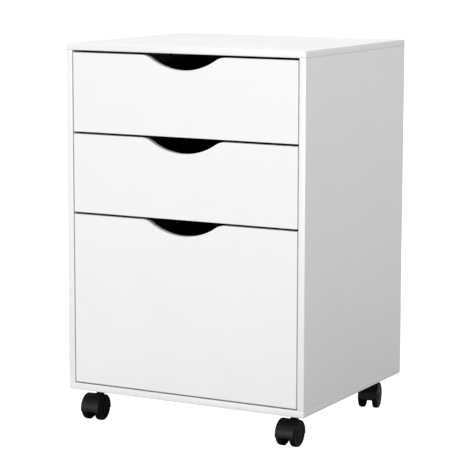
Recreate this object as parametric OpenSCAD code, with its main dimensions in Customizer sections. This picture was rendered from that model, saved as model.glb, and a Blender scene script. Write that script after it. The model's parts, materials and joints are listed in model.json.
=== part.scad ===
// Rolling pedestal cabinet with three drawers on four twin-wheel casters.
// Millimetres. Origin: centre of the footprint, on the floor. +Z up, drawers open towards -Y.

/* [Carcass] */
// Width over the side panels
cab_w = 460; // [400:5:560]
// Depth from the front edges to the back panel
cab_d = 400; // [392:2:560]
// Height of the carcass without the casters
cab_h = 608; // [590:2:700]
// Thickness of the carcass, front and drawer boards
board_t = 12; // [12:1:14]
// Thickness of the back panel and the drawer bottoms
sheet_t = 3; // [3:0.5:4]

/* [Drawer fronts] */
// Height of the top and middle fronts
shallow_front_h = 136; // [130:1:150]
// Gap above and between the fronts
front_gap = 4; // [2:0.5:5]
// Gap under the bottom front
floor_gap = 2.5; // [1:0.5:4]
// Gap between a front and each side panel
side_gap = 2; // [1:0.5:3]

/* [Finger cut-out] */
// Width of the cut-out where it meets the top edge
cut_w = 160; // [146:2:200]
// Depth of the cut-out below the top edge
cut_depth = 24; // [20:1:28]
// Radius of the long bottom arc
cut_r = 115; // [100:1:118]

/* [Drawer boxes] */
// Length of a drawer side and of its runner
runner_len = 350; // [350:5:370]
// How far a drawer pulls out
drawer_travel = 260; // [180:5:260]
// Height of the boxes of the top and middle drawers
shallow_box_h = 90; // [84:1:94]
// Height of the box of the bottom drawer
deep_box_h = 205; // [198:1:210]

/* [Casters] */
// Height from the floor to the underside of the carcass
caster_h = 56.5; // [56:0.5:62]
// Radius of a wheel
wheel_r = 22; // [20:0.5:22]
// Distance from a stem to the side of the carcass
stem_inset_x = 37.5; // [34:0.5:60]
// Distance from a stem to the front or back of the carcass
stem_inset_y = 42.5; // [42.5:0.5:80]
// Trail, from the stem axis to the axle
caster_trail = 17; // [16.5:0.1:17.5]
// Direction of the front left, front right, rear left and rear right casters, in degrees
caster_turn = [3, 0, -5, 12];

/* [Hidden] */
$fn = 64;
eps = 0.01;

// Colours
white = [0.96, 0.96, 0.955];
box_grey = [0.25, 0.25, 0.26];
black = [0.07, 0.07, 0.075];
steel = [0.75, 0.76, 0.78];
zinc = [0.62, 0.64, 0.66];
nylon = [0.90, 0.89, 0.85];
beech = [0.80, 0.66, 0.47];

// Carcass: heights of its outer faces and positions of its inner ones
base_z = caster_h;
top_z = base_z + cab_h;
inner_x = cab_w / 2 - board_t;
front_y = -cab_d / 2;
rear_edge_y = cab_d / 2 - sheet_t;
board_depth = cab_d - sheet_t;
side_mid_x = inner_x + board_t / 2;
floor_z = base_z + board_t;
roof_z = top_z - board_t;

// Fronts, listed as top, middle, bottom
front_w = 2 * (inner_x - side_gap);
deep_front_h = roof_z - floor_z - 3 * front_gap - floor_gap - 2 * shallow_front_h;
front_h = [shallow_front_h, shallow_front_h, deep_front_h];
front_z = [
  roof_z - front_gap - shallow_front_h,
  roof_z - 2 * (front_gap + shallow_front_h),
  floor_z + floor_gap
];
// The end fillets touch the top edge and the long arc
cut_end_r = (pow(cut_w / 2, 2) + pow(cut_depth, 2)) / (2 * cut_depth) - cut_r;

// Roller runner section, measured from the inner face of a side panel inwards and from the roller axis
runner_gap = 12.5;
rail_t = 1.2;
roller_r = 8.7;
roller_in = 3.4;
roller_out = 9.0;
roller_bore_r = 2.6;
stud_r = 2.5;
stud_head_r = 3.6;
stud_play = 0.3;
roller_slack = 0.3;
flange_slack = 0.2;
stud_head_t = 0.8;
channel_floor = -roller_r - roller_slack;
channel_roof = 11.3;
channel_roof_w = 8;
lip_h = 2.5;
lip_s = 10.6;
drawer_flange_s = 3;
drawer_flange_z = roller_r + roller_slack;
drawer_flange_w = 9.5;
cabinet_rail_y = front_y + board_t + 2;
box_front_y = front_y + board_t;
box_rear_y = box_front_y + runner_len;
front_roller_in = 20;
rear_roller_in = 15;
flange_cut = 11;
front_roller_y = cabinet_rail_y + front_roller_in;
rear_roller_y = box_rear_y - rear_roller_in;
stop_h = 5;
stop_t = 1.5;
stop_reach = sqrt(pow(roller_r, 2) - pow(-channel_floor - stop_h, 2)) + roller_slack;

// Drawer boxes, listed as top, middle, bottom
box_h = [shallow_box_h, shallow_box_h, deep_box_h];
box_lift = [14, 14, 30];
function box_z(d) = front_z[d] + box_lift[d];
function roller_z(d) = box_z(d) - channel_floor - flange_slack;
box_x = inner_x - runner_gap;
box_inner_x = box_x - board_t;
groove_z = 8;
groove_play = 0.1;
groove_depth = 5;
rail_bottom_z = channel_floor - rail_t + flange_slack;

// Cam fittings: a bolt in one board, drawn in by a round cam in the face of the other
cam_r = 5.9;
cam_t = 9.3;
cam_reach = 24;
cam_bolt_r = 2.5;
cam_shank_r = 2;
cam_head_r = 2.9;
cam_thread = 9;
cam_head_t = 3;
cam_cross_l = 6;
cam_cross_w = 1.2;
cam_cross_deep = 1.5;
play = 0.1;
carcass_cam_y = [-140, 140];
carcass_dowel_y = [-170, 170];
dowel_r = 3;
dowel_up = 9;
dowel_down = 16;
cam_heights = [[30, 70], [30, 70], [40, 165]];

// Screws: runner screws are 3.5 x 11, back panel screws 3 x 16, corner screws 4 x 35
pan_head_r = 3.2;
pan_head_t = 1.3;
screw_r = 1.75;
runner_screw_len = 11;
runner_screw_y = [37, 165, 293];
runner_screw_z = 7.6;
box_screw_s = runner_gap + 4;
box_screw_len = 14;
back_screw_r = 1.5;
back_head_r = 2.8;
back_head_t = 1.6;
back_screw_len = 16;
back_screw_z = [for (i = [0:4]) base_z + 44 + i * (cab_h - 88) / 4];
back_screw_x = [for (i = [-1:1]) i * (inner_x - 48)];
corner_screw_r = 1.9;
corner_head_r = 3.6;
corner_head_t = 2.4;
corner_screw_len = 35;
corner_heights = [[30, 75], [30, 75], [30, 110, 190]];

// Casters
stem_x = cab_w / 2 - stem_inset_x;
stem_y = cab_d / 2 - stem_inset_y;
stem_at = [[-stem_x, -stem_y], [stem_x, -stem_y], [-stem_x, stem_y], [stem_x, stem_y]];
axle_z = wheel_r;
axle_r = 3;
axle_half = 15.7;
wheel_in = 8;
wheel_out = 17.9;
wheel_round = 2.5;
wheel_skin = 2;
wheel_rim = 3;
inner_round = 1;
cap_r = 8;
cap_groove = 1;
hood_r = wheel_r + 2.5;
hood_t = 1.7;
hood_half = 17.2;
hood_dip = 10;
web_half = 6.6;
hub_r = 7.3;
hub_top = caster_h - 9.5;
hub_low = axle_z - 6;
boss_wall = 3;
pin_r = 3.75;
collar_half = 7;
collar_t = 5;
shoulder_r = 5.5;
hub_play = 0.3;
pin_low = axle_z + 2;
thread_r = 4;
nut_r = 5;
nut_flange_r = 9.5;
nut_flange_t = 1.4;
nut_barrel = 9;

// ---- Placing and shared shapes ----

// The same shape on the left and, mirrored, on the right
module both_sides() {
  children();
  mirror([1, 0, 0]) children();
}

// A cylinder along +X
module rod_x(r, len) rotate([0, 90, 0]) cylinder(r = r, h = len);

// A flat-headed screw along +Z with its head's face at z = 0
module sunk_screw(r, len, head_r, head_t) {
  union() {
    cylinder(r1 = head_r, r2 = r, h = head_t);
    cylinder(r = r, h = len);
  }
}

// A pan-headed screw along +Z with the underside of its head at z = 0
module pan_screw(len) {
  union() {
    translate([0, 0, -pan_head_t]) cylinder(r = pan_head_r, h = pan_head_t);
    cylinder(r = screw_r, h = len);
  }
}

// A cam and its bolt: the joint face is z = 0, the bolt's thread points to +Z, the cam's face to +X
module cam_fitting() {
  cylinder(r = cam_bolt_r, h = cam_thread);
  translate([0, 0, -cam_reach]) cylinder(r = cam_shank_r, h = cam_reach + eps);
  translate([0, 0, -cam_reach - cam_head_t / 2]) cylinder(r = cam_head_r, h = cam_head_t);
  difference() {
    translate([board_t / 2, 0, -cam_reach]) rotate([0, -90, 0]) cylinder(r = cam_r, h = cam_t);
    translate([0, 0, -cam_reach - 2]) cylinder(r = cam_head_r + play, h = cam_r + 4);
    for (turn = [45, -45])
      translate([board_t / 2 - cam_cross_deep, 0, -cam_reach]) rotate([turn, 0, 0])
        translate([0, -cam_cross_w / 2, -cam_cross_l / 2])
          cube([cam_cross_deep + 1, cam_cross_w, cam_cross_l]);
  }
}

// The holes a cam fitting needs: in the board with the cam, and in the board with the thread
module cam_holes() {
  translate([board_t / 2 + 1, 0, -cam_reach]) rotate([0, -90, 0]) cylinder(r = cam_r + play, h = cam_t + 1.3);
  translate([0, 0, -cam_reach]) cylinder(r = cam_head_r + play, h = cam_reach + 1);
  translate([0, 0, -1]) cylinder(r = cam_bolt_r + play, h = cam_thread + 1.5);
}

// ---- Carcass ----

// Places for the corner joints of the left side panel: top and bottom
module corner_joints() {
  translate([-side_mid_x, 0, roof_z]) children();
  translate([-side_mid_x, 0, floor_z]) mirror([0, 0, 1]) children();
}

module corner_holes() {
  corner_joints() {
    for (y = carcass_cam_y) translate([0, y, 0]) cam_holes();
    for (y = carcass_dowel_y)
      translate([0, y, -dowel_down - 0.5]) cylinder(r = dowel_r + play, h = dowel_up + dowel_down + 1);
  }
}

// Runner screws of the left side, for drawer d
module runner_screw_places(d) {
  for (y = runner_screw_y)
    translate([-inner_x + rail_t, cabinet_rail_y + y, roller_z(d) + runner_screw_z]) children();
}

module back_screw_places() {
  for (z = back_screw_z, x = [-side_mid_x, side_mid_x]) translate([x, cab_d / 2, z]) children();
  for (x = back_screw_x, z = [base_z + board_t / 2, top_z - board_t / 2])
    translate([x, cab_d / 2, z]) children();
}

// Holes for the back panel screws, as long as a screw and a little wider
module back_screw_holes() {
  back_screw_places() rotate([90, 0, 0]) translate([0, 0, -eps])
    sunk_screw(back_screw_r + play, back_screw_len + 0.5, back_head_r + play, back_head_t);
}

module side_panel_shape() {
  difference() {
    translate([-cab_w / 2, front_y, floor_z]) cube([board_t, board_depth, roof_z - floor_z]);
    corner_holes();
    for (d = [0:2]) runner_screw_places(d) rotate([0, -90, 0])
      cylinder(r = screw_r + play, h = runner_screw_len + 0.3);
    back_screw_holes();
  }
}

module top_panel() {
  color(white) difference() {
    translate([-cab_w / 2, front_y, roof_z]) cube([cab_w, board_depth, board_t]);
    both_sides() corner_holes();
    back_screw_holes();
  }
}

module left_side_panel() {
  color(white) side_panel_shape();
}

module right_side_panel() {
  color(white) mirror([1, 0, 0]) side_panel_shape();
}

module bottom_panel() {
  color(white) difference() {
    translate([-cab_w / 2, front_y, base_z]) cube([cab_w, board_depth, board_t]);
    both_sides() corner_holes();
    back_screw_holes();
    for (at = stem_at) translate([at[0], at[1], base_z - 1]) cylinder(r = nut_r + play, h = board_t + 2);
  }
}

module back_panel() {
  color(white) difference() {
    translate([-cab_w / 2 + 1, rear_edge_y, base_z + 1]) cube([cab_w - 2, sheet_t, cab_h - 2]);
    back_screw_holes();
  }
}

module carcass_cam_fittings() {
  color(zinc) both_sides() corner_joints() for (y = carcass_cam_y) translate([0, y, 0]) cam_fitting();
}

module carcass_dowels() {
  color(beech) both_sides() corner_joints() for (y = carcass_dowel_y)
    translate([0, y, -dowel_down]) cylinder(r = dowel_r, h = dowel_up + dowel_down);
}

module runner_screws() {
  color(steel) both_sides() for (d = [0:2]) runner_screw_places(d)
    rotate([0, -90, 0]) pan_screw(runner_screw_len);
}

module back_panel_screws() {
  color(steel) back_screw_places() rotate([90, 0, 0])
    sunk_screw(back_screw_r, back_screw_len, back_head_r, back_head_t);
}

module tee_nuts() {
  color(zinc) for (at = stem_at) translate([at[0], at[1], floor_z]) difference() {
    union() {
      translate([0, 0, -nut_barrel]) cylinder(r = nut_r, h = nut_barrel + eps);
      cylinder(r = nut_flange_r, h = nut_flange_t);
    }
    translate([0, 0, -nut_barrel - 1]) cylinder(r = thread_r + play, h = nut_barrel + nut_flange_t + 2);
  }
}

// Threaded stem with a hexagonal collar against the bottom panel and a plain pin for the housing
module caster_stems() {
  color(steel) for (at = stem_at) translate([at[0], at[1], 0]) union() {
    translate([0, 0, base_z - eps]) cylinder(r = thread_r, h = board_t + 1);
    translate([0, 0, base_z - collar_t]) cylinder(r = collar_half / cos(30), h = collar_t, $fn = 6);
    translate([0, 0, hub_top + hub_play]) cylinder(r = shoulder_r, h = base_z - collar_t - hub_top);
    translate([0, 0, pin_low]) cylinder(r = pin_r, h = base_z - pin_low - 1);
  }
}

// ---- Roller runners ----

// Shapes drawn in the section plane of the left runner, swept from y1 to y2 along the drawer
module runner_sweep(d, y1, y2) {
  translate([-inner_x, y2, roller_z(d)]) rotate([90, 0, 0]) linear_extrude(height = y2 - y1) children();
}

// The stud that carries a roller: a boss on the rail's web, the shaft and a riveted head
module roller_stud(from_s, side) {
  boss = side > 0 ? roller_in - stud_play - from_s : from_s - roller_out - stud_play;
  rotate([0, side > 0 ? 90 : -90, 0]) {
    cylinder(r = stud_head_r, h = boss);
    cylinder(r = stud_r, h = boss + roller_out - roller_in + 2 * stud_play + eps);
    translate([0, 0, boss + roller_out - roller_in + 2 * stud_play])
      cylinder(r = stud_head_r, h = stud_head_t);
  }
}

// A roller of drawer d on the left side, centred at y
module runner_roller(d, y) {
  translate([-inner_x + roller_in, y, roller_z(d)]) difference() {
    rod_x(roller_r, roller_out - roller_in);
    translate([-1, 0, 0]) rod_x(roller_bore_r, roller_out - roller_in + 2);
  }
}

// Channel on the side panel: open towards the drawer, with a lip, a stop and the front roller's stud
module cabinet_rail_shape(d) {
  rear_y = cabinet_rail_y + runner_len;
  stop_y = rear_roller_y - drawer_travel - stop_reach;
  difference() {
    union() {
      runner_sweep(d, cabinet_rail_y, rear_y) polygon([
        [0, channel_floor - rail_t], [lip_s, channel_floor - rail_t], [lip_s, channel_floor + lip_h],
        [lip_s - rail_t, channel_floor + lip_h], [lip_s - rail_t, channel_floor], [rail_t, channel_floor],
        [rail_t, channel_roof], [channel_roof_w, channel_roof], [channel_roof_w, channel_roof + rail_t],
        [0, channel_roof + rail_t]
      ]);
      runner_sweep(d, stop_y - stop_t, stop_y)
        translate([rail_t - eps, channel_floor - eps]) square([lip_s - 2 * rail_t, stop_h]);
      translate([-inner_x + rail_t - eps, front_roller_y, roller_z(d)]) roller_stud(rail_t, 1);
    }
    runner_screw_places(d) translate([-rail_t - 1, 0, 0]) rod_x(screw_r + play, rail_t + 2);
  }
}

// Rail on the drawer side: a flange under the side, and one that rides on the front roller
module drawer_rail_shape(d) {
  web_s = runner_gap - rail_t;
  difference() {
    union() {
      runner_sweep(d, box_front_y, box_rear_y) polygon([
        [drawer_flange_s, drawer_flange_z], [web_s, drawer_flange_z], [web_s, rail_bottom_z],
        [runner_gap + drawer_flange_w, rail_bottom_z], [runner_gap + drawer_flange_w, rail_bottom_z + rail_t],
        [runner_gap, rail_bottom_z + rail_t], [runner_gap, drawer_flange_z + rail_t],
        [drawer_flange_s, drawer_flange_z + rail_t]
      ]);
      translate([-inner_x + web_s + eps, rear_roller_y, roller_z(d)]) roller_stud(web_s, -1);
    }
    // the top flange ends before the rear roller, which is free to press up on the channel
    translate([-inner_x, rear_roller_y - flange_cut, roller_z(d) + drawer_flange_z - play])
      cube([web_s, flange_cut + rear_roller_in + 1, rail_t + 2 * play]);
    box_screw_places(d) translate([0, 0, -1]) cylinder(r = screw_r + play, h = rail_t + 2);
  }
}

// Screws that hold the left drawer rail to the underside of the drawer side
module box_screw_places(d) {
  for (y = runner_screw_y)
    translate([-inner_x + box_screw_s, box_front_y + y, roller_z(d) + rail_bottom_z]) children();
}

module cabinet_rails(d) {
  color(white) both_sides() cabinet_rail_shape(d);
}

module front_rollers(d) {
  color(nylon) both_sides() runner_roller(d, front_roller_y);
}

module drawer_rails(d) {
  color(white) both_sides() drawer_rail_shape(d);
}

module rear_rollers(d) {
  color(nylon) both_sides() runner_roller(d, rear_roller_y);
}

// ---- Drawers ----

// Places of the cam fittings between the left drawer side and the front
module drawer_cam_places(d) {
  for (z = cam_heights[d])
    translate([-box_x + board_t / 2, box_front_y, box_z(d) + z]) rotate([90, 0, 0]) children();
}

// Places of the screws through the left drawer side into the drawer back
module corner_screw_places(d) {
  for (z = corner_heights[d])
    translate([-box_x, box_rear_y - board_t / 2, box_z(d) + z]) rotate([0, 90, 0]) children();
}

module corner_screw_holes(d) {
  corner_screw_places(d) translate([0, 0, -eps])
    sunk_screw(corner_screw_r + play, corner_screw_len + 0.5, corner_head_r + play, corner_head_t);
}

// Groove for the drawer bottom, cut this deep into all four boards around it
module bottom_groove(d) {
  translate([-box_inner_x - groove_depth, box_front_y - groove_depth, box_z(d) + groove_z])
    cube([
      2 * (box_inner_x + groove_depth),
      runner_len - board_t + 2 * groove_depth,
      sheet_t + 2 * groove_play
    ]);
}

// Outline of a front with its lower edge at y = 0: a long arc dips its middle, and round shoulders
// lead from the arc's ends up to the top edge
module front_outline(h) {
  arc_y = h + cut_r - cut_depth;
  touch_x = cut_w / 2 * cut_r / (cut_r + cut_end_r);
  difference() {
    translate([-touch_x, 0]) square([2 * touch_x, h + 1]);
    translate([0, arc_y]) circle(r = cut_r, $fn = 180);
  }
  both_sides() {
    intersection() {
      translate([touch_x, 0]) square([cut_w / 2 - touch_x, h + 1]);
      union() {
        translate([cut_w / 2, h - cut_end_r]) circle(r = cut_end_r, $fn = 90);
        square([cut_w, h - cut_end_r]);
      }
    }
    translate([cut_w / 2, 0]) square([front_w / 2 - cut_w / 2, h]);
  }
}

module drawer_front(d) {
  color(white) difference() {
    translate([0, box_front_y, front_z[d]]) rotate([90, 0, 0])
      linear_extrude(height = board_t) front_outline(front_h[d]);
    bottom_groove(d);
    both_sides() drawer_cam_places(d) cam_holes();
  }
}

module drawer_side_shape(d) {
  difference() {
    translate([-box_x, box_front_y, box_z(d)]) cube([board_t, runner_len, box_h[d]]);
    // the groove is open at both ends of a side
    translate([-box_inner_x - groove_depth, box_front_y - 1, box_z(d) + groove_z])
      cube([groove_depth + 1, runner_len + 2, sheet_t + 2 * groove_play]);
    drawer_cam_places(d) cam_holes();
    corner_screw_holes(d);
    box_screw_places(d) cylinder(r = screw_r + play, h = box_screw_len + 0.5);
  }
}

module drawer_left_side(d) {
  color(box_grey) drawer_side_shape(d);
}

module drawer_right_side(d) {
  color(box_grey) mirror([1, 0, 0]) drawer_side_shape(d);
}

module drawer_back(d) {
  color(box_grey) difference() {
    translate([-box_inner_x, box_rear_y - board_t, box_z(d)]) cube([2 * box_inner_x, board_t, box_h[d]]);
    bottom_groove(d);
    both_sides() corner_screw_holes(d);
  }
}

module drawer_bottom(d) {
  edge = groove_depth - 0.2;
  color(box_grey) translate([-box_inner_x - edge, box_front_y - edge, box_z(d) + groove_z + groove_play])
    cube([2 * (box_inner_x + edge), runner_len - board_t + 2 * edge, sheet_t]);
}

module drawer_cam_fittings(d) {
  color(zinc) both_sides() drawer_cam_places(d) cam_fitting();
}

module drawer_screws(d) {
  color(steel) both_sides() {
    corner_screw_places(d) sunk_screw(corner_screw_r, corner_screw_len, corner_head_r, corner_head_t);
    box_screw_places(d) pan_screw(box_screw_len);
  }
}

// ---- Casters ----

// Caster c stands with its stem on the local z axis and its axle towards -y
module at_caster(c) {
  translate([stem_at[c][0], stem_at[c][1], 0]) rotate([0, 0, caster_turn[c]]) children();
}

// The same caster, centred on its axle
module at_axle(c) {
  at_caster(c) translate([0, -caster_trail, axle_z]) children();
}

module caster_housing(c) {
  web_low = hood_r * sin(hood_dip);
  color(black) difference() {
    union() {
      // hood over the treads, from below axle height at the front to below axle height at the back
      at_axle(c) rotate([0, 90, 0]) rotate([0, 0, 90 - hood_dip]) rotate_extrude(angle = 180 + 2 * hood_dip)
        translate([hood_r - hood_t, -hood_half]) square([hood_t, 2 * hood_half]);
      // plate between the wheels
      at_axle(c) intersection() {
        translate([-web_half, 0, 0]) rod_x(hood_r - hood_t / 2, 2 * web_half);
        translate([-web_half, -hood_r, -web_low]) cube([2 * web_half, 2 * hood_r, hood_r + web_low]);
      }
      at_axle(c) translate([-web_half, 0, 0]) rod_x(axle_r + boss_wall, 2 * web_half);
      at_caster(c) translate([0, 0, hub_low]) cylinder(r = hub_r, h = hub_top - hub_low);
    }
    at_axle(c) translate([-web_half - 1, 0, 0]) rod_x(axle_r + play / 2, 2 * web_half + 2);
    at_caster(c) translate([0, 0, pin_low - 1]) cylinder(r = pin_r + play, h = hub_top - pin_low + 2);
  }
}

module caster_axle(c) {
  color(steel) at_axle(c) translate([-axle_half, 0, 0]) rod_x(axle_r, 2 * axle_half);
}

// Section of the right wheel: x is the radius, y the distance from the caster's middle plane
module wheel_section() {
  difference() {
    union() {
      translate([axle_r + play, wheel_in])
        square([wheel_r - wheel_round - axle_r - play, wheel_out - wheel_in]);
      translate([wheel_r - wheel_round - eps, wheel_in + inner_round])
        square([wheel_round + eps, wheel_out - wheel_in - wheel_round - inner_round]);
      translate([wheel_r - wheel_round, wheel_out - wheel_round]) circle(r = wheel_round);
      translate([wheel_r - inner_round, wheel_in + inner_round]) circle(r = inner_round);
      translate([wheel_r - wheel_round - eps, wheel_in])
        square([wheel_round - inner_round + eps, 2 * inner_round]);
    }
    // hollow between the hub and the rim, closed by the outer skin
    translate([axle_r + boss_wall, wheel_in - 1])
      square([wheel_r - wheel_rim - axle_r - boss_wall, wheel_out - wheel_in - wheel_skin + 1]);
    // ring groove around the hub cap
    translate([cap_r, wheel_out - cap_groove / 2]) square([cap_groove, cap_groove]);
  }
}

module wheel_shape() {
  rotate([0, 90, 0]) union() {
    rotate_extrude() wheel_section();
    // the outer skin closes the bore
    translate([0, 0, wheel_out - wheel_skin]) cylinder(r = axle_r + 1, h = wheel_skin);
  }
}

module caster_left_wheel(c) {
  color(black) at_axle(c) mirror([1, 0, 0]) wheel_shape();
}

module caster_right_wheel(c) {
  color(black) at_axle(c) wheel_shape();
}

// ---- Nodes ----

top_panel();
left_side_panel();
right_side_panel();
bottom_panel();
back_panel();
carcass_cam_fittings();
carcass_dowels();
runner_screws();
back_panel_screws();
tee_nuts();
caster_stems();

drawers = ["top", "middle", "bottom"];
for (d = [0:2]) {
  cabinet_rails(d);
  front_rollers(d);
  drawer_front(d);
  drawer_left_side(d);
  drawer_right_side(d);
  drawer_back(d);
  drawer_bottom(d);
  drawer_rails(d);
  rear_rollers(d);
  drawer_cam_fittings(d);
  drawer_screws(d);
}

casters = ["front_left", "front_right", "rear_left", "rear_right"];
for (c = [0:3]) {
  caster_housing(c);
  caster_axle(c);
  caster_left_wheel(c);
  caster_right_wheel(c);
}
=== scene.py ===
# %% [markdown]
# # A rolling pedestal cabinet
# The real cabinet is made of white melamine-faced boards with edge banding, three drawers on roller
# runners and four hooded twin-wheel casters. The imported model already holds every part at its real
# place and size, so this script loads it first and reads all positions from it. Lengths that belong to
# a finish or to a rounded edge are written in millimetres.

# %% Load the frame
import json
import math

import bmesh
import bpy
import numpy as np
from mathutils import Matrix, Vector
from mathutils.geometry import tessellate_polygon


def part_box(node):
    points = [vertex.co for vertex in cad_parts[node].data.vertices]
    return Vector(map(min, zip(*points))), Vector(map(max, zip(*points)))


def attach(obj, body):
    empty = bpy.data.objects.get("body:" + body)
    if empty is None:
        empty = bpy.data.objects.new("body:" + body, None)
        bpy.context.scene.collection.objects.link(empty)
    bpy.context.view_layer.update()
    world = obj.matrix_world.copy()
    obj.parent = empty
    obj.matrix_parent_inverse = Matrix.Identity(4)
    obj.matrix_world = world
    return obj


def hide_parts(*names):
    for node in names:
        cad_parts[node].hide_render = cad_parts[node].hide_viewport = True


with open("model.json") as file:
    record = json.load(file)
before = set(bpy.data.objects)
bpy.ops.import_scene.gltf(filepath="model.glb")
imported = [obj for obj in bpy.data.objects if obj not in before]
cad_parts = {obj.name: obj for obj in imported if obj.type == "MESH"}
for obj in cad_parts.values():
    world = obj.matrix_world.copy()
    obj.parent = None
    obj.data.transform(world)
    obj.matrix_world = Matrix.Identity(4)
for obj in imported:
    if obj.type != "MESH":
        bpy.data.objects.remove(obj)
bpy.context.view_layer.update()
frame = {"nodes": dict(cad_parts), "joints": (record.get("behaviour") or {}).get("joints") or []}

MM = 0.001
DRAWERS = ("top", "middle", "bottom")
CASTERS = ("front_left", "front_right", "rear_left", "rear_right")
joints = {joint["name"]: joint for joint in frame["joints"]}

# %% [markdown]
# ## The camera
# Furniture is shown from far away with a long lens, so that upright edges stay almost parallel; a short lens
# close by would make them lean. The camera stands about 3.5 m from the cabinet, to the right of its front and
# a little above its top. A Track To constraint could aim it, but three turns say exactly where it looks:
# around the upright axis, up or down, and a very small roll.

# %% Camera
eye = Vector((1653.7, -3095.8, 861.9)) * MM
turn, tilt, roll = math.radians(28.353), math.radians(-8.627), math.radians(0.104)
view = Matrix.Rotation(turn, 4, "Z") @ Matrix.Rotation(math.radians(90) + tilt, 4, "X")

camera_data = bpy.data.cameras.new("camera")
camera_data.sensor_width = 36
camera_data.lens = 156.37
camera = bpy.data.objects.new("camera", camera_data)
camera.matrix_world = Matrix.Translation(eye) @ view @ Matrix.Rotation(roll, 4, "Z")
bpy.context.scene.collection.objects.link(camera)
bpy.context.scene.camera = camera
print("camera:", round((eye - Vector((0, 0, 0.33))).length, 2), "m from the cabinet")

# %% [markdown]
# ## Surfaces as grids
# Every new piece is a skin of quads between the points of a grid. The points come from a formula, worked
# out for the whole grid at once, and the quads only join neighbours. The same shapes could be drawn by hand
# and finished with modifiers; a formula is chosen because it takes its sizes from the frame, so a piece fits
# its neighbours without any measuring. A piece is a few such skins merged where they meet, so that it is
# closed and its faces point outwards.

# %% Grid, cap and piece helpers
def skin(points, slot=0, wrap=True, smooth=True):
    """Quads between the neighbours of a grid of points (rows, columns, 3).

    Point (i, j) is joined with (i, j + 1) and (i + 1, j); with wrap, the last column meets the first.
    """
    rows, columns = points.shape[:2]
    i, j = np.meshgrid(np.arange(rows - 1), np.arange(columns if wrap else columns - 1), indexing="ij")
    k = (j + 1) % columns
    quads = np.stack([i * columns + j, i * columns + k, (i + 1) * columns + k, (i + 1) * columns + j], -1)
    return points.reshape(-1, 3), quads.reshape(-1, 4).tolist(), slot, smooth


def cap(loop, slot=0, holes=()):
    """A flat face inside a closed loop of points; holes are further loops that are left open."""
    if not len(holes):
        return loop, [list(range(len(loop)))], slot, False
    loops = [[Vector(p) for p in ring] for ring in (loop, *holes)]
    triangles = [list(t) for t in tessellate_polygon(loops)]
    return np.concatenate([loop, *holes]), triangles, slot, False


def piece(name, parts, finishes, body, node):
    """Merge skins and caps into one closed object that rides on a body and stands for a CAD node."""
    faces, slots, smooth, start = [], [], [], 0
    for points, polygons, slot, soft in parts:
        faces += [[index + start for index in polygon] for polygon in polygons]
        slots += [slot] * len(polygons)
        smooth += [soft] * len(polygons)
        start += len(points)
    mesh = bpy.data.meshes.new(name)
    mesh.from_pydata(np.concatenate([part[0] for part in parts]).tolist(), [], faces)
    mesh.polygons.foreach_set("material_index", slots)
    mesh.polygons.foreach_set("use_smooth", smooth)
    shell = bmesh.new()
    shell.from_mesh(mesh)
    bmesh.ops.remove_doubles(shell, verts=shell.verts, dist=1e-7)
    bmesh.ops.recalc_face_normals(shell, faces=shell.faces)
    shell.to_mesh(mesh)
    shell.free()
    for finish in finishes:
        mesh.materials.append(finish)
    made = bpy.data.objects.new(name, mesh)
    bpy.context.scene.collection.objects.link(made)
    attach(made, body)
    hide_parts(node)
    return made


# %% [markdown]
# ## Outlines with round corners
# A drawing of a board is a polygon whose corners are rounded: each corner is replaced by the arc that
# touches both of its edges. The same idea draws the section of a wheel or of a hood, so one function
# serves them all.

# %% Rounded outlines
def edge_directions(places):
    """The unit directions of the edges that leave each corner of a closed polygon."""
    ahead = np.roll(places, -1, 0) - places
    return ahead / np.linalg.norm(ahead, axis=1, keepdims=True)


def shrunk(corners, distance):
    """Corners (x, y, radius) of the parallel outline inside a closed one that runs anticlockwise.

    A corner moves along the bisector of its edges; its radius shrinks where the outline bulges and grows
    where it is hollow, so that both outlines keep the same number of points.
    """
    places = corners[:, :2]
    after = edge_directions(places)
    before = np.roll(after, 1, 0)
    out = np.stack([after[:, 1], -after[:, 0]], 1)
    sum_of_normals = out + np.roll(out, 1, 0)
    moved = places - distance * sum_of_normals / np.sum(sum_of_normals * out, 1, keepdims=True)
    bulging = before[:, 0] * after[:, 1] - before[:, 1] * after[:, 0] > 0
    radius = np.where(bulging, np.maximum(corners[:, 2] - distance, 0.02 * MM), corners[:, 2] + distance)
    return np.column_stack([moved, radius])


def rounded(corners, closed=True, step=3.0):
    """Points of a polygon or an open line of corners (x, y, radius).

    An arc of that radius touches both edges of its corner: it starts at radius x tan(turn / 2) before
    the corner and turns by the angle between the edges, with a point every `step` degrees.
    """
    points = []
    for index, (x, y, radius) in enumerate(corners):
        here = np.array([x, y])
        if radius == 0 or (not closed and index in (0, len(corners) - 1)):
            points.append(here[None])
            continue
        before = here - corners[index - 1][:2]
        after = corners[(index + 1) % len(corners)][:2] - here
        before, after = before / np.linalg.norm(before), after / np.linalg.norm(after)
        bend = math.atan2(before[0] * after[1] - before[1] * after[0], before @ after)
        side = np.array([-before[1], before[0]]) * math.copysign(1, bend)
        reach = radius * math.tan(abs(bend) / 2)
        centre = here - before * reach + side * radius
        t = np.linspace(0, abs(bend), max(3, round(math.degrees(abs(bend)) / step) + 1))[:, None]
        points.append(centre - side * radius * np.cos(t) + before * radius * np.sin(t))
    return np.concatenate(points)


# %% [markdown]
# ## Boards
# A board is its outline swept through its thickness. Banded edges are milled round, never razor sharp: an
# arris of about a millimetre catches a thin line of light where it faces up and goes dark where it faces
# down. The sides' ends are cut square, because they butt against the boards above and below. The plastic
# band around the edge is one millimetre thick and shows on the faces as a hairline frame. A box with a Bevel
# modifier would do for a plain board. Sweeping the outline does the same, and it also gives the band its own
# finish, takes the scooped fronts as they are, and leaves round holes open without a Boolean.

# %% Board helper
BAND = 1.0 * MM


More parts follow.
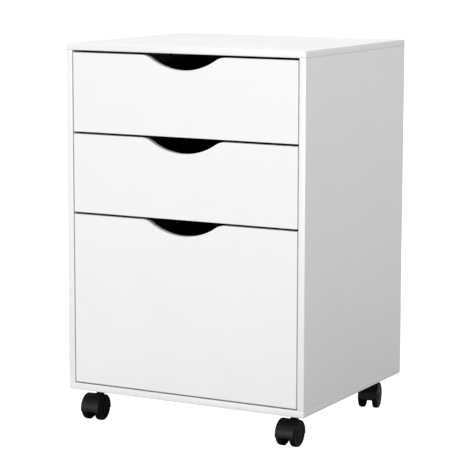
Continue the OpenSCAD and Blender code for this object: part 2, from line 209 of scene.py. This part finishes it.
def board(corners, low, high, axes, ease, holes=(), step=22.5):
    """A flat board with eased arrises and banded edges.

    The corners lie in the plane of axes[0] and axes[1], and the thickness runs along axes[2] from low to
    high. The edge's section is a quarter circle of radius ease at each arris with a straight stretch
    between them. A hole is (side, u, v, radius, depth) on the low side, 0, or the high side, 1.
    """
    t = np.linspace(0, math.pi / 2, 5)
    corner = np.stack([ease * (1 - np.sin(t)), ease * (1 - np.cos(t))], 1)
    half = np.concatenate([[[BAND + ease, 0]], corner])
    far = half[::-1] * [1, -1] + [0, high - low]
    section = np.concatenate([half, far])

    def lay(uv, depth):
        points = np.empty((len(uv), 3))
        points[:, axes[0]], points[:, axes[1]], points[:, axes[2]] = uv[:, 0], uv[:, 1], low + depth
        return points

    edge = np.stack([lay(rounded(shrunk(corners, inwards), step=step), depth) for inwards, depth in section])
    parts = [skin(edge, slot=1)]
    ring = np.linspace(0, 2 * math.pi, 49)[:-1]
    for side, face in ((0, edge[0]), (1, edge[-1])):
        level = 0 if side == 0 else high - low
        rims = []
        for _, u, v, radius, depth in [hole for hole in holes if hole[0] == side]:
            circle = np.stack([u + radius * np.cos(ring), v + radius * np.sin(ring)], 1)
            deep = level + depth * (1 if side == 0 else -1)
            rims.append(lay(circle, level))
            parts.append(skin(np.stack([lay(circle, level), lay(circle, deep)]), slot=2))
            parts.append(cap(lay(circle, deep), slot=2))
        parts.append(cap(face, holes=rims))
    return parts


def rectangle(low, high, axes, corner=0.8 * MM):
    """The corners of a rectangular board that fills a node's box, seen along axes[2]."""
    (u0, v0), (u1, v1) = [(point[axes[0]], point[axes[1]]) for point in (low, high)]
    return np.array([(u0, v0, corner), (u1, v0, corner), (u1, v1, corner), (u0, v1, corner)])


print("edge band:", BAND / MM, "mm")

# %% [markdown]
# ## Finishes
# Colours are written as the hex values one reads off a colour card, and turned to linear light. Every
# finish has a slow change of tone, a slow change of gloss and a fine relief, because no real sheet is
# perfectly even; what changes from one to the next is their size in millimetres and their depth. An image
# of each sheet would need unwrapping and would repeat; noise on Object coordinates has no seams, and its
# scale is simply 1000 divided by the size of a patch in millimetres.

# %% Material helpers
NOISE_LOW, NOISE_HIGH = 0.3, 0.7            # nearly all values of a noise lie between these


def srgb(code, alpha=1.0):
    """A hex colour as linear light: c / 12.92 near black, ((c + 0.055) / 1.055) ** 2.4 above."""
    c = np.array([int(code[i:i + 2], 16) for i in (1, 3, 5)]) / 255
    linear = np.where(c <= 0.04045, c / 12.92, ((c + 0.055) / 1.055) ** 2.4)
    return (*linear.tolist(), alpha)


def add(tree, kind, inputs=None, **settings):
    """Add a node; an input is either a value or the socket of another node that is linked to it."""
    node = tree.nodes.new("ShaderNode" + kind)
    for key, value in settings.items():
        setattr(node, key, value)
    for key, value in (inputs or {}).items():
        if isinstance(value, bpy.types.NodeSocket):
            tree.links.new(value, node.inputs[key])
        else:
            node.inputs[key].default_value = value
    return node


def new_finish(name, **shader):
    """An empty material with a Principled shader; returns the material, its tree, shader and coordinates."""
    material = bpy.data.materials.new(name)
    material.use_nodes = True
    tree = material.node_tree
    surface = tree.nodes["Principled BSDF"]
    for key, value in shader.items():
        surface.inputs[key.replace("_", " ").title().replace("Ior", "IOR")].default_value = value
    place = add(tree, "TexCoord").outputs["Object"]
    return material, tree, surface, place


def even_finish(name, dark, light, patch, gloss, grain, relief, **shader):
    """A finish whose tone changes between two colours and whose gloss changes between two roughness values.

    patch is the length of those slow changes, grain that of the fine relief, and relief its height, all in
    millimetres.
    """
    material, tree, surface, place = new_finish(name, **shader)
    slow = add(tree, "TexNoise", {"Vector": place, "Scale": 1000 / patch, "Detail": 3.0})
    tone = add(tree, "ValToRGB", {"Fac": slow.outputs["Fac"]})
    tone.color_ramp.elements[0].position, tone.color_ramp.elements[1].position = NOISE_LOW, NOISE_HIGH
    tone.color_ramp.elements[0].color, tone.color_ramp.elements[1].color = srgb(dark), srgb(light)
    tree.links.new(tone.outputs["Color"], surface.inputs["Base Color"])
    shine = add(tree, "MapRange", {"Value": slow.outputs["Fac"], "From Min": NOISE_LOW,
                                   "From Max": NOISE_HIGH, "To Min": gloss[0], "To Max": gloss[1]})
    tree.links.new(shine.outputs["Result"], surface.inputs["Roughness"])
    fine = add(tree, "TexNoise", {"Vector": place, "Scale": 1000 / grain, "Detail": 2.0})
    bump = add(tree, "Bump", {"Height": fine.outputs["Fac"], "Strength": 1.0, "Distance": relief * MM})
    tree.links.new(bump.outputs["Normal"], surface.inputs["Normal"])
    return material


# %% [markdown]
# ### Board finishes
# The faces are melamine paper pressed onto fibreboard against a satin plate: white, close to matte, with a
# very faint pearl about a millimetre and a half across. The band is ABS plastic, extruded smooth, so it is a
# touch warmer and glossier than the face. The cut wall of a hole shows the brown fibreboard core, dull and
# fibrous. The drawer boxes get black paper and black band as painted shade: the near black stands in for the
# shade inside the cabinet, which the scoops and gaps look into.

# %% White and black boards
melamine = even_finish("white_melamine", "#F2F2F2", "#F4F4F4", 90, (0.42, 0.48), 1.6, 0.010)
banding = even_finish("white_abs_band", "#F1F1F0", "#F3F3F2", 60, (0.34, 0.40), 2.5, 0.006)
core = even_finish("fibreboard_core", "#8A6C4A", "#A98A64", 4, (0.85, 0.95), 0.6, 0.08)
# painted shade: near-black board and band for the drawer boxes, standing in for the shade inside the cabinet
painted_shade_board = even_finish("painted_shade_black_board", "#0D0D0E", "#131314", 70, (0.46, 0.54), 1.6, 0.015)
painted_shade_band = even_finish("painted_shade_black_band", "#0B0B0C", "#101011", 60, (0.34, 0.40), 2.5, 0.008)
print("board finishes:", melamine.name, banding.name, core.name, painted_shade_board.name, painted_shade_band.name)

# %% [markdown]
# ## Carcass
# The top and bottom boards lie over the ends of the two sides, so from the side their edges show as thin
# strips with a seam; their arrises are rounder than those of the sides, and the seam shows as a line of
# light. The sides have blind holes for the round cams that pull the boards together; a hole sits 24 mm from
# the end of its board. Each board is its own piece, as it would come out of the carton, and not one hollow
# box.

# %% Carcass boards
CAM_HOLE = (6.0 * MM, 9.6 * MM)             # radius and depth
CAM_REACH = 24 * MM
CAM_Y = (-140 * MM, 140 * MM)
TO_XY, TO_YZ, TO_XZ = (0, 1, 2), (1, 2, 0), (0, 2, 1)
LID_ARRIS, SIDE_ARRIS, SIDE_CORNER = 1.5 * MM, 0.3 * MM, 0.1 * MM

for name, node in (("top_board", "top_panel"), ("bottom_board", "bottom_panel")):
    low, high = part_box(node)
    parts = board(rectangle(low, high, TO_XY), low.z, high.z, TO_XY, LID_ARRIS)
    piece(name, parts, [melamine, banding, core], "carcass", node)

for side, inner in (("left", 1), ("right", 0)):
    node = f"{side}_side_panel"
    low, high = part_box(node)
    cams = [(inner, y, z, *CAM_HOLE) for y in CAM_Y for z in (low.z + CAM_REACH, high.z - CAM_REACH)]
    parts = board(rectangle(low, high, TO_YZ, SIDE_CORNER), low.x, high.x, TO_YZ, SIDE_ARRIS, cams)
    piece(f"{side}_side_board", parts, [melamine, banding, core], "carcass", node)
print("carcass:", [round(side / MM, 1) for side in high - low], "mm side boards")

# %% [markdown]
# ## Drawer fronts
# Instead of a handle, each front has a scoop in its top edge: a long shallow arc for the fingers with a
# rounded shoulder at each end that runs into the straight edge without a corner. Drawn as a polygon, the
# scoop is one corner at the bottom with a big radius and one at each shoulder with a small radius. Both
# arcs turn by the same angle, the one whose sine is half the scoop's width over the sum of the radii. A
# Boolean cut with a cylinder would leave the shoulders sharp and its arris unrounded, so the scoop is part
# of the outline instead.

# %% Fronts with finger scoops
SCOOP_WIDTH, SCOOP_DEPTH, SCOOP_RADIUS = 160 * MM, 24 * MM, 115 * MM
FRONT_ARRIS = FRONT_CORNER = 0.8 * MM
both_radii = ((SCOOP_WIDTH / 2) ** 2 + SCOOP_DEPTH ** 2) / (2 * SCOOP_DEPTH)
shoulder = both_radii - SCOOP_RADIUS
swing = math.asin(SCOOP_WIDTH / 2 / both_radii)
shoulder_x = SCOOP_WIDTH / 2 - shoulder * math.tan(swing / 2)
scoop_low = SCOOP_DEPTH - SCOOP_RADIUS + SCOOP_RADIUS / math.cos(swing)

for drawer in DRAWERS:
    low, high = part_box(f"{drawer}_drawer_front")
    corners = np.array([
        (low.x, low.z, FRONT_CORNER), (high.x, low.z, FRONT_CORNER), (high.x, high.z, FRONT_CORNER),
        (shoulder_x, high.z, shoulder), (0, high.z - scoop_low, SCOOP_RADIUS),
        (-shoulder_x, high.z, shoulder), (low.x, high.z, FRONT_CORNER),
    ])
    parts = board(corners, low.y, high.y, TO_XZ, FRONT_ARRIS, step=2)
    piece(f"{drawer}_front_board", parts, [melamine, banding, core], f"{drawer}_drawer",
          f"{drawer}_drawer_front")
print("scoop:", round(shoulder / MM, 1), "mm shoulders turning", round(math.degrees(swing), 1), "degrees")

# %% [markdown]
# ## Drawer boxes
# The boxes get black boards as painted shade: the black stands in for the shade inside the cabinet, so that
# the scoops and gaps show dark. Their sides have cam holes inside, near the front, and countersunk holes for
# the corner screws outside, near the back. They are plain boards, so the board helper makes them too, with a
# smaller arris.

# %% Drawer box boards
CAM_HEIGHTS = {"top": (30, 70), "middle": (30, 70), "bottom": (40, 165)}
SCREW_HEIGHTS = {"top": (30, 75), "middle": (30, 75), "bottom": (30, 110, 190)}
SCREW_HOLE, SCREW_REACH = (3.7 * MM, 2.4 * MM), 6 * MM
BOX_ARRIS = 0.6 * MM

for drawer in DRAWERS:
    finishes = [painted_shade_board, painted_shade_band, core]
    for side, inner in (("left", 1), ("right", 0)):
        node = f"{drawer}_drawer_{side}_side"
        low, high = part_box(node)
        cams = [(inner, low.y + CAM_REACH, low.z + z * MM, *CAM_HOLE) for z in CAM_HEIGHTS[drawer]]
        screws = [(1 - inner, high.y - SCREW_REACH, low.z + z * MM, *SCREW_HOLE)
                  for z in SCREW_HEIGHTS[drawer]]
        parts = board(rectangle(low, high, TO_YZ), low.x, high.x, TO_YZ, BOX_ARRIS, cams + screws)
        piece(f"{drawer}_box_{side}", parts, finishes, f"{drawer}_drawer", node)
    node = f"{drawer}_drawer_back"
    low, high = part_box(node)
    parts = board(rectangle(low, high, TO_XZ), low.y, high.y, TO_XZ, BOX_ARRIS)
    piece(f"{drawer}_box_back", parts, finishes, f"{drawer}_drawer", node)
print("drawer boxes:", len(DRAWERS) * 3, "boards")

# %% [markdown]
# ## Caster housings
# A housing is one moulding: a hood that follows the treads from just below axle height at the front, over
# the top and down to the same height behind, a plate between the wheels, and a hub around the stem. The
# hood is a section carried around the axle, as a Screw modifier would carry it. Here the section also
# changes on the way: its outer corners are well rounded, and it shrinks over the last millimetre at each
# end, which rounds the lips. A caster is drawn once, around its axle, and then turned to its own direction.

# %% Caster dimensions and frames
straight = "front_right"                    # the caster that isn't turned: its box gives true sizes
axle = Vector(joints[f"{straight}_left_wheel_spin"]["pos_m"])
swivel = Vector(joints[f"{straight}_caster_swivel"]["pos_m"])
wheel_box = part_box(f"{straight}_caster_right_wheel")
WHEEL_R, WHEEL_IN, WHEEL_OUT = wheel_box[1].z / 2, wheel_box[0].x - axle.x, wheel_box[1].x - axle.x
TRAIL = swivel.y - axle.y
HUB_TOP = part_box(f"{straight}_caster_housing")[1].z - axle.z
HOOD_R, HOOD_HALF, HOOD_WALL = WHEEL_R + 2.5 * MM, 17.2 * MM, 1.7 * MM
HOOD_DIP = math.radians(10)


def caster_frame(caster):
    """The axle's middle, and the directions of the axle, of travel and up, as rows of an array."""
    wheel = joints[f"{caster}_left_wheel_spin"]
    across = np.array(wheel["axis"], float)
    up = np.array([0.0, 0.0, 1.0])
    return np.array(wheel["pos_m"], float), np.stack([across, np.cross(up, across), up])


def lathe(profile, turns=96):
    """Spin a profile of (distance along the axle, radius) once around the axle: x, r cos t, r sin t."""
    t = np.linspace(0, 2 * math.pi, turns + 1)[:-1]
    x = np.repeat(profile[:, :1], turns, 1)
    return np.stack([x, profile[:, 1:] * np.cos(t), profile[:, 1:] * np.sin(t)], -1)


def placed(parts, caster):
    """Parts drawn around the axle, moved to where that caster's axle is."""
    centre, directions = caster_frame(caster)
    return [(points @ directions + centre, *rest) for points, *rest in parts]


print("wheel radius", round(WHEEL_R / MM, 2), "mm, trail", round(TRAIL / MM, 2), "mm")

# %% [markdown]
# The hub is a short column spun around the stem, with a flare at its foot where it grows out of the hood.
# The plate is a disc cut straight below the axle, with a small boss there; it only shows between the wheels,
# from below and behind. Both run into the hood, as the real moulding does, so their meeting lines need no
# joining of meshes.

# %% Hood, plate and hub
def hood_parts():
    """The hood: a closed section of (across, radius) carried from one lip over the top to the other."""
    inner, shoulder_at, fall = HOOD_R - HOOD_WALL, HOOD_HALF * 0.72, 0.1 * MM
    inner_edge, outer_edge, crown = 0.4 * MM, 1.1 * MM, 18 * MM
    section = rounded([
        (-HOOD_HALF, inner, inner_edge), (HOOD_HALF, inner, inner_edge),
        (HOOD_HALF, HOOD_R - fall, outer_edge), (shoulder_at, HOOD_R, crown),
        (-shoulder_at, HOOD_R, crown), (-HOOD_HALF, HOOD_R - fall, outer_edge),
    ], step=12)
    middle = section.mean(0)
    lip = HOOD_WALL / 2 / HOOD_R
    ease = np.linspace(0, math.pi / 2, 7)
    start, end, steps = -HOOD_DIP, math.pi + HOOD_DIP, 68
    angles = np.concatenate([start + lip * (1 - np.cos(ease)),
                             np.linspace(start + lip, end - lip, steps + 2)[1:-1],
                             end - lip * (1 - np.cos(ease[::-1]))])
    shrink = np.concatenate([np.sin(ease), np.ones(steps), np.sin(ease[::-1])])
    across = np.broadcast_to(section[:, 0], (len(angles), len(section)))
    radius = middle[1] + (section[:, 1] - middle[1]) * np.maximum(shrink, 0.05)[:, None]
    grid = np.stack([across, radius * np.cos(angles)[:, None], radius * np.sin(angles)[:, None]], -1)
    return [skin(grid), cap(grid[0]), cap(grid[-1])]


def plate_parts():
    """The plate between the wheels: a half disc on a low strip, with a boss below the axle."""
    half, radius, low = WHEEL_IN - 1.4 * MM, HOOD_R - HOOD_WALL / 2, -HOOD_R * math.sin(HOOD_DIP)
    drop, ease, root, foot = 2.5 * MM, 0.8 * MM, 8 * MM, 5 * MM
    corners = np.array([
        (-radius, low, 1 * MM), (-root, low, 2 * MM), (-foot, low - drop, 3 * MM),
        (foot, low - drop, 3 * MM), (root, low, 2 * MM), (radius, low, 1 * MM),
        (radius, radius, radius), (-radius, radius, radius),
    ])
    section = [(ease, -half), (0, -half + ease), (0, half - ease), (ease, half)]
    outlines = [(rounded(shrunk(corners, inwards)), x) for inwards, x in section]
    grid = np.stack([np.column_stack([np.full(len(outline), x), outline]) for outline, x in outlines])
    return [skin(grid), cap(grid[0]), cap(grid[-1])]


def hub_parts():
    """The hub: a profile of (height above the axle, radius) spun around the stem, trail behind the axle."""
    low, high, radius = -6 * MM, HUB_TOP, 7.3 * MM
    socket, socket_floor = 4.0 * MM, HUB_TOP - 4 * MM
    profile = rounded([
        (low, 0, 0), (low, radius - 1 * MM, 2 * MM), (2 * MM, radius, 4 * MM), (15 * MM, radius, 8 * MM),
        (high - 1 * MM, radius - 0.3 * MM, 0.2 * MM), (high, radius - 1.3 * MM, 0.5 * MM),
        (high, socket + 0.2 * MM, 0.3 * MM), (socket_floor, socket, 0), (socket_floor, 0, 0),
    ], closed=False, step=10)
    spun = lathe(profile, 64)
    grid = np.stack([spun[..., 1], spun[..., 2] + TRAIL, spun[..., 0]], -1)
    return [skin(grid)]


# %% [markdown]
# ## Wheels
# A wheel is a hollow nylon cup spun around the axle: a tread with rounded shoulders, an outer face with a
# shallow dish and a small hub cap, and an open inner side against the plate. The Spin tool would turn the
# same profile; a formula does it with the profile's first and last point on the axis, so the poles close.

# %% Wheel section
def wheel_parts(side):
    """The wheel as a spun profile of (distance from the plate, radius); side is -1 left or 1 right."""
    inner, outer, tread = WHEEL_IN, WHEEL_OUT, WHEEL_R
    dish, disc_in = outer - 0.9 * MM, outer - 2.4 * MM
    bore, hub, wall = 3.1 * MM, 7 * MM, 2.8 * MM
    profile = rounded([
        (outer, 0, 0), (outer, hub, 0.8 * MM), (dish, hub + 0.8 * MM, 0.4 * MM),
        (dish, tread - 5.6 * MM, 0.8 * MM), (outer - 0.1 * MM, tread - 4.4 * MM, 0.6 * MM),
        (outer, tread - 0.6 * MM, 2.6 * MM), (outer - 3.2 * MM, tread, 3.0 * MM), (inner, tread, 1.4 * MM),
        (inner, tread - wall, 0.5 * MM), (disc_in, tread - wall - 0.4 * MM, 1.0 * MM),
        (disc_in, hub, 1.0 * MM), (inner, hub - 1.2 * MM, 0.4 * MM), (inner, bore, 0.2 * MM),
        (disc_in, bore, 0), (disc_in, 0, 0),
    ], closed=False, step=10)
    profile[:, 0] *= side
    return [skin(lathe(profile))]


# %% [markdown]
# ### Caster finishes
# Both mouldings are black nylon. The housing comes from a spark-eroded mould, which leaves a fine even
# grain that spreads the light into a soft grey sheen. The wheels are smoother and deeper black, and their
# gloss changes in patches, where the floor has dulled them. The specular level is below its usual value: the
# fine texture of both mouldings traps some of the light that a polished face would return.

# %% Casters
housing_nylon = even_finish("black_nylon_grained", "#0B0B0C", "#101011", 12, (0.42, 0.50), 0.7, 0.02,
                            specular_ior_level=0.25)
wheel_nylon = even_finish("black_nylon_smooth", "#050506", "#09090A", 9, (0.36, 0.50), 1.0, 0.012,
                          specular_ior_level=0.14)

for caster in CASTERS:
    parts = placed(hood_parts() + plate_parts() + hub_parts(), caster)
    piece(f"{caster}_housing", parts, [housing_nylon], f"{caster}_caster", f"{caster}_caster_housing")
    for side, sign in (("left", -1), ("right", 1)):
        piece(f"{caster}_{side}_twin_wheel", placed(wheel_parts(sign), caster), [wheel_nylon],
              f"{caster}_{side}_wheel", f"{caster}_caster_{side}_wheel")
print("casters:", len(CASTERS), "housings and", 2 * len(CASTERS), "wheels")

# %% [markdown]
# ## Parts that keep their CAD shape
# Rails, rollers, screws, nuts, stems and axles are turned, punched or stamped parts whose exact shape is
# already in the frame, so making them again would add nothing. They only need the finish of their real
# material, except the sheets in the drawers. The rails are coated with white enamel, which gives them a soft
# sheen. The rollers are undyed nylon, milky and smooth. The cams are die-cast zinc, dull, with cloudy flow
# marks. The screws and axles are zinc-plated steel, bright and a little blue, and the caster stems, whose
# collars show above the hoods, are passivated black. The dowels are beech, matt and brown. The sheets in the
# drawers are painted shade: near black on hardboard, standing in for the shade inside the drawers, with a
# slight orange peel.

# %% Metal, nylon and sheet finishes
enamel = even_finish("white_runner_enamel", "#E6E6E2", "#ECECE8", 40, (0.34, 0.42), 1.2, 0.02)
roller_nylon = even_finish("natural_nylon", "#DEDCD2", "#E8E6DC", 8, (0.38, 0.46), 0.8, 0.02)
zinc = even_finish("die_cast_zinc", "#8E9297", "#A6AAAF", 5, (0.34, 0.48), 0.8, 0.03, metallic=1.0)
steel = even_finish("zinc_plated_steel", "#B4B7BC", "#C8CBCF", 4, (0.24, 0.36), 0.6, 0.01, metallic=1.0)
black_steel = even_finish("black_passivated_steel", "#17171A", "#222226", 4, (0.34, 0.46), 0.6, 0.01,
                          metallic=1.0)
beech = even_finish("turned_beech", "#B58F62", "#CDAB7E", 3, (0.55, 0.65), 0.5, 0.05)
# painted shade: the drawer bottoms are near black so that they read as the shade inside the drawers
painted_shade_sheet = even_finish("painted_shade_drawer_sheet", "#0E0E0F", "#161617", 30, (0.44, 0.56), 1.5, 0.03)

# %% [markdown]
# The back sheet is hardboard, lacquered white on the side that shows and raw brown inside. Two material
# slots would need its faces told apart in the mesh, which stays as the frame has it. So one finish tells the
# sides apart by where they are: the raw side is the one nearer the drawers.

# %% Hardboard back
FIBRE_LENGTH = 2.5                          # millimetres, coarser than real fibres so that they show


def back_sheet_finish():
    """White lacquer where y is above the sheet's inner face by half a millimetre, brown fibre elsewhere."""
    material, tree, surface, place = new_finish("hardboard_back", roughness=0.5)
    low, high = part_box("back_panel")
    depth = add(tree, "SeparateXYZ", {"Vector": place}).outputs["Y"]
    lacquered = add(tree, "Math", {0: depth, 1: low.y + 0.5 * MM}, operation="GREATER_THAN").outputs[0]
    fibres = add(tree, "TexNoise", {"Vector": place, "Scale": 1000 / FIBRE_LENGTH, "Detail": 4.0})
    fibre = fibres.outputs["Fac"]
    raw = add(tree, "ValToRGB", {"Fac": fibre})
    raw.color_ramp.elements[0].color, raw.color_ramp.elements[1].color = srgb("#2A1D14"), srgb("#3B2A1D")
    white = add(tree, "ValToRGB", {"Fac": fibre})
    white.color_ramp.elements[0].color, white.color_ramp.elements[1].color = srgb("#EDEDEB"), srgb("#F1F1EF")
    tone = add(tree, "Mix", {0: lacquered, 6: raw.outputs["Color"], 7: white.outputs["Color"]},
               data_type="RGBA")
    tree.links.new(tone.outputs[2], surface.inputs["Base Color"])
    rough = add(tree, "MapRange", {"Value": lacquered, "To Min": 0.85, "To Max": 0.42})
    tree.links.new(rough.outputs["Result"], surface.inputs["Roughness"])
    bump = add(tree, "Bump", {"Height": fibre, "Strength": 1.0, "Distance": 0.03 * MM})
    tree.links.new(bump.outputs["Normal"], surface.inputs["Normal"])
    return material


kept = {"back_panel": back_sheet_finish(), "carcass_cam_fittings": zinc, "carcass_dowels": beech,
        "runner_screws": steel, "back_panel_screws": steel, "tee_nuts": zinc, "caster_stems": black_steel}
for drawer in DRAWERS:
    kept |= {f"{drawer}_cabinet_rails": enamel, f"{drawer}_drawer_rails": enamel,
             f"{drawer}_front_rollers": roller_nylon, f"{drawer}_rear_rollers": roller_nylon,
             f"{drawer}_drawer_bottom": painted_shade_sheet, f"{drawer}_drawer_cam_fittings": zinc,
             f"{drawer}_drawer_screws": steel}
for caster in CASTERS:
    kept[f"{caster}_caster_axle"] = steel
for node, finish in kept.items():
    frame["nodes"][node].data.materials.clear()
    frame["nodes"][node].data.materials.append(finish)
print("kept from the frame:", len(kept), "nodes")

# %% [markdown]
# ## Stage
# The cabinet stands in a white studio cove: a floor that curves up into a wall, so no horizon shows. The
# cove glows a little, as an evenly lit sweep does, and only the camera sees it. The light on the cabinet
# bounces off a second floor that only light rays see: a small round of grey felt. The lower a point of the
# cabinet is, the more of the felt it faces, so the sides grow darker towards the floor. One white floor for
# both would be simpler, but it would throw a shadow and light the cabinet from below.

# %% Cove and floor
def spun_floor(name, radius, height, finish, turns=96):
    """A bowl: rings of the given radii and heights around the upright axis, r cos t, r sin t, z."""
    turn = np.linspace(0, 2 * math.pi, turns + 1)[:-1]
    grid = np.stack([np.outer(radius, np.cos(turn)), np.outer(radius, np.sin(turn)),
                     np.repeat(height[:, None], turns, 1)], -1)
    points, quads, _, _ = skin(grid[:, ::-1])
    mesh = bpy.data.meshes.new(name)
    mesh.from_pydata(points.tolist(), [], quads)
    mesh.polygons.foreach_set("use_smooth", [True] * len(mesh.polygons))
    mesh.materials.append(finish)
    made = bpy.data.objects.new(name, mesh)
    bpy.context.scene.collection.objects.link(made)
    return made


glow = even_finish("glowing_white_sweep", "#F0F0F0", "#F2F2F2", 900, (0.85, 0.95), 40, 0.05,
                   emission_color=srgb("#FFFFFF"), emission_strength=0.95)
felt = even_finish("grey_felt", "#A6A6A5", "#ACACAB", 900, (0.85, 0.95), 40, 0.05)

BEND, REACH, PIN = 6, 20, 0.001              # metres: the cove's bend, its wall, and its closed middle
t = np.linspace(0, math.pi / 2, 24)
cove = spun_floor("cove", np.concatenate([[PIN, 2, 6, 10], REACH - BEND + BEND * np.sin(t), [REACH]]),
                  np.concatenate([np.zeros(4), BEND * (1 - np.cos(t)), [REACH]]), glow)
cove.visible_diffuse = cove.visible_glossy = cove.visible_shadow = False
FELT_RADIUS = 1.1
floor = spun_floor("floor", np.array([PIN, FELT_RADIUS / 2, FELT_RADIUS]), np.zeros(3), felt)
floor.visible_camera = False
print("stage:", cove.name, floor.name)

# %% [markdown]
# ## Light
# Even light from all around fills the shade; an image of a studio could give it, but a plain colour keeps
# reflections quiet on white boards. A large soft box to the left of the front, low enough to reach its lower
# edge as well as its upper one, gives the front its brightness. One high up behind lifts the top, and one to
# the right does the same for what looks up and to the right: the rounded arrises on that side and the walls
# of the scoops. The Standard view keeps white boards white.

# %% Lights
world = bpy.data.worlds.new("studio")
world.use_nodes = True
world.node_tree.nodes["Background"].inputs["Color"].default_value = srgb("#FFFDFE")
world.node_tree.nodes["Background"].inputs["Strength"].default_value = 0.615
bpy.context.scene.world = world
bpy.context.scene.view_settings.view_transform = "Standard"


def soft_box(name, place, aim, size, power):
    """A square area lamp at a place, facing a point; size in metres, power in watts."""
    data = bpy.data.lights.new(name, "AREA")
    data.size, data.energy = size, power
    lamp = bpy.data.objects.new(name, data)
    facing = (Vector(aim) - Vector(place)).to_track_quat("-Z", "Y").to_matrix().to_4x4()
    lamp.matrix_world = Matrix.Translation(place) @ facing
    bpy.context.scene.collection.objects.link(lamp)


soft_box("key", (-0.7, -3.2, 0.45), (0, 0, 0.35), 1.2, 37.7)
soft_box("overhead", (-0.75, 0.75, 3.4), (0, 0, 0.6), 1.2, 27.5)
soft_box("right_lamp", (1.25, -0.9, 2.9), (0, 0, 0.6), 1.0, 20)
print("lights: key, overhead and right lamp")
